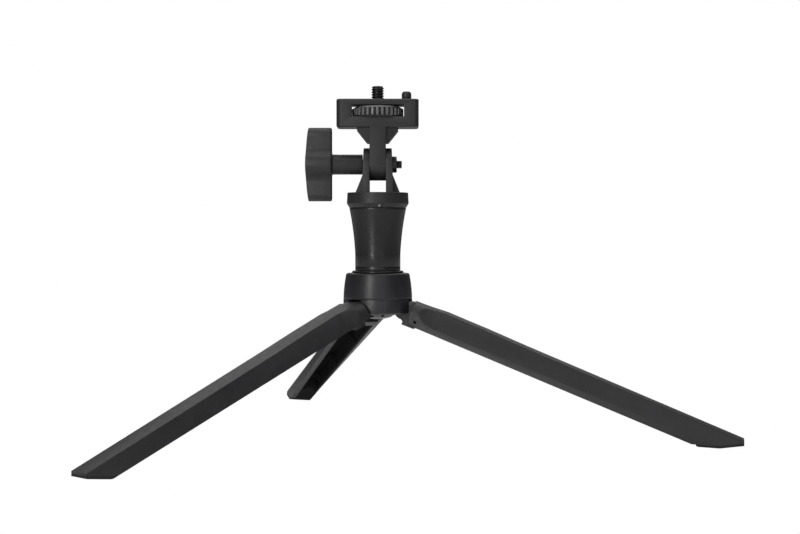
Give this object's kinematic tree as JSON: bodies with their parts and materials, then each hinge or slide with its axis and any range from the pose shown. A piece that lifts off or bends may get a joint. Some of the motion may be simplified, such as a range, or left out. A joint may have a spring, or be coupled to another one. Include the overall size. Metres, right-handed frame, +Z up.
{
  "type": "mini table tripod",
  "caption": "Mini table tripod: folding channel legs on a round hub, a waisted column, and a pan and tilt head with a wing knob and a camera screw.",
  "frame": {"origin": "middle of the footprint's bounding box, on the surface the feet stand on", "axes": "+Z up along the column, +X along the tilt axis from the wing knob towards the clamp nut, -Y towards the front of the head"},
  "size_m": [0.301, 0.3079, 0.1747],
  "materials": {
    "leg_plastic": "fine moulded texture, black",
    "hub_plastic": "fine moulded texture, black",
    "column_plastic": "satin, black",
    "head_plastic": "satin, black",
    "wheel_plastic": "satin, black",
    "washer_plastic": "natural, smooth",
    "pad_rubber": "matt black",
    "black_steel": "black oxide steel",
    "bright_steel": "zinc plated"
  },
  "bodies": {
    "base": {"hub_core": "hub_plastic", "hub_base": "hub_plastic", "base_screws": "black_steel", "hub_cap": "hub_plastic", "leg_pin_left": "bright_steel", "leg_pin_right": "bright_steel", "leg_pin_rear": "bright_steel", "column_ring": "column_plastic", "column_sleeve": "column_plastic", "column_plug": "column_plastic", "column_screw": "black_steel", "pan_washer": "washer_plastic"},
    "pan": {"yoke": "head_plastic", "pan_screw": "black_steel", "pan_spring_washer": "bright_steel", "pan_nut": "bright_steel", "index_pip": "bright_steel", "clamp_nut": "black_steel"},
    "knob": {"clamp_knob": "head_plastic", "clamp_bolt": "black_steel"},
    "tilt": {"tilt_block": "head_plastic", "twist_pin": "head_plastic"},
    "stud": {"thumbwheel": "wheel_plastic", "camera_stud": "black_steel"},
    "leg_left": {"leg_left": "leg_plastic", "foot_pad_left": "pad_rubber"},
    "leg_right": {"leg_right": "leg_plastic", "foot_pad_right": "pad_rubber"},
    "leg_rear": {"leg_rear": "leg_plastic", "foot_pad_rear": "pad_rubber"}
  },
  "joints": [
    {"name": "pan_swivel", "type": "hinge", "parent": "base", "child": "pan", "pos_m": [-0.02533, -0.01847, 0.1142], "axis": [0, 0, 1], "continuous": true},
    {"name": "head_tilt", "type": "hinge", "parent": "pan", "child": "tilt", "pos_m": [-0.02533, -0.01847, 0.1358], "axis": [1, 0, 0], "range_deg": [-90, 90]},
    {"name": "knob_spin", "type": "hinge", "parent": "pan", "child": "knob", "pos_m": [-0.04832, -0.01847, 0.1358], "axis": [-1, 0, 0], "range_deg": [0, 540]},
    {"name": "stud_spin", "type": "hinge", "parent": "tilt", "child": "stud", "pos_m": [-0.02533, -0.01847, 0.1616], "axis": [0, 0, 1], "continuous": true},
    {"name": "fold_left", "type": "hinge", "parent": "base", "child": "leg_left", "pos_m": [-0.0348, -0.02878, 0.0635], "axis": [0.7361, -0.6769, 0], "range_deg": [0, 70]},
    {"name": "fold_right", "type": "hinge", "parent": "base", "child": "leg_right", "pos_m": [-0.01166, -0.02153, 0.0635], "axis": [0.2181, 0.9759, 0], "range_deg": [0, 70]},
    {"name": "fold_rear", "type": "hinge", "parent": "base", "child": "leg_rear", "pos_m": [-0.02951, -0.00511, 0.0635], "axis": [-0.9542, -0.299, 0], "range_deg": [0, 70]}
  ]
}
